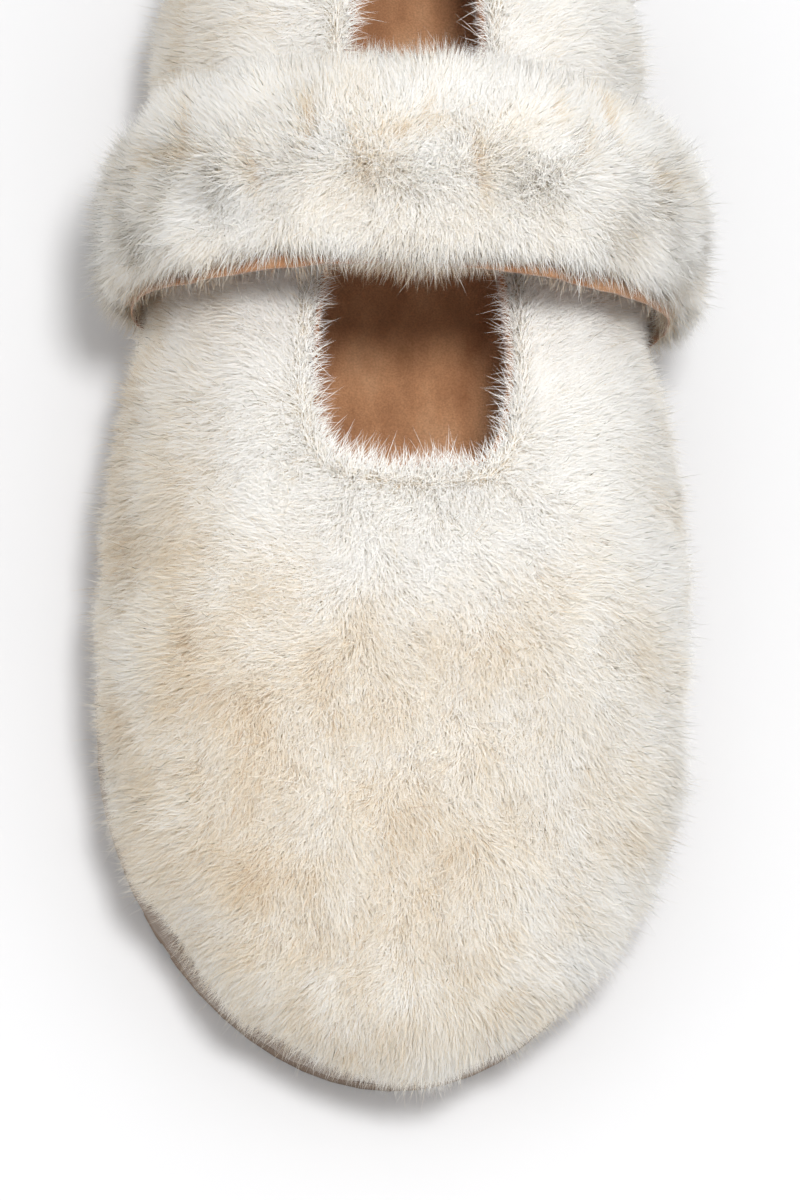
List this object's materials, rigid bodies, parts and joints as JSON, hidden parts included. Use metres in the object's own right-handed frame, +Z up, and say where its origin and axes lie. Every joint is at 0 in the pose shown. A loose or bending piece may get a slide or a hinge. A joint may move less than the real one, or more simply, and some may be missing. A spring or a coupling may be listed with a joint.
{
  "type": "fluffy slipper",
  "caption": "Closed house slipper in short faux fur with a long slot opening, suede lining and footbed, flat padded sole, and a gathered fur strap arched over the instep",
  "frame": {"origin": "middle of the footprint, on the ground under the outsole", "axes": "+Z up, toe toward -Y and heel toward +Y, big toe side toward +X"},
  "size_m": [0.119, 0.2594, 0.095],
  "materials": {
    "outsole_rubber": "matte",
    "midsole_foam": "matte",
    "taupe_suede": "matte",
    "board": "matte",
    "cushion_foam": "matte",
    "brown_suede": "matte",
    "fur_cream": "matte",
    "fur_pale": "matte",
    "stiffener": "matte",
    "wadding": "matte",
    "elastic": "matte"
  },
  "bodies": {
    "shoe": {"outsole": "outsole_rubber", "midsole": "midsole_foam", "sole_wrap": "taupe_suede", "insole_board": "board", "footbed_foam": "cushion_foam", "footbed_cover": "brown_suede", "vamp_fur": "fur_cream", "quarter_fur_right": "fur_pale", "quarter_fur_left": "fur_cream", "toe_puff": "stiffener", "heel_counter": "stiffener", "vamp_lining": "brown_suede", "quarter_lining_right": "brown_suede", "quarter_lining_left": "brown_suede", "topline_binding": "brown_suede", "strap_anchor_right": "brown_suede", "strap_anchor_left": "brown_suede"},
    "strap": {"strap_fur": "fur_pale", "strap_lining": "brown_suede", "strap_padding": "wadding", "strap_elastic_front": "elastic", "strap_elastic_rear": "elastic"}
  },
  "joints": [
    {"name": "strap_swing", "type": "hinge", "parent": "shoe", "child": "strap", "pos_m": [0, 0.041, 0.027], "axis": [1, 0, 0], "range_deg": [-20, 22], "stiffness_Nm_per_rad": 0.05}
  ]
}
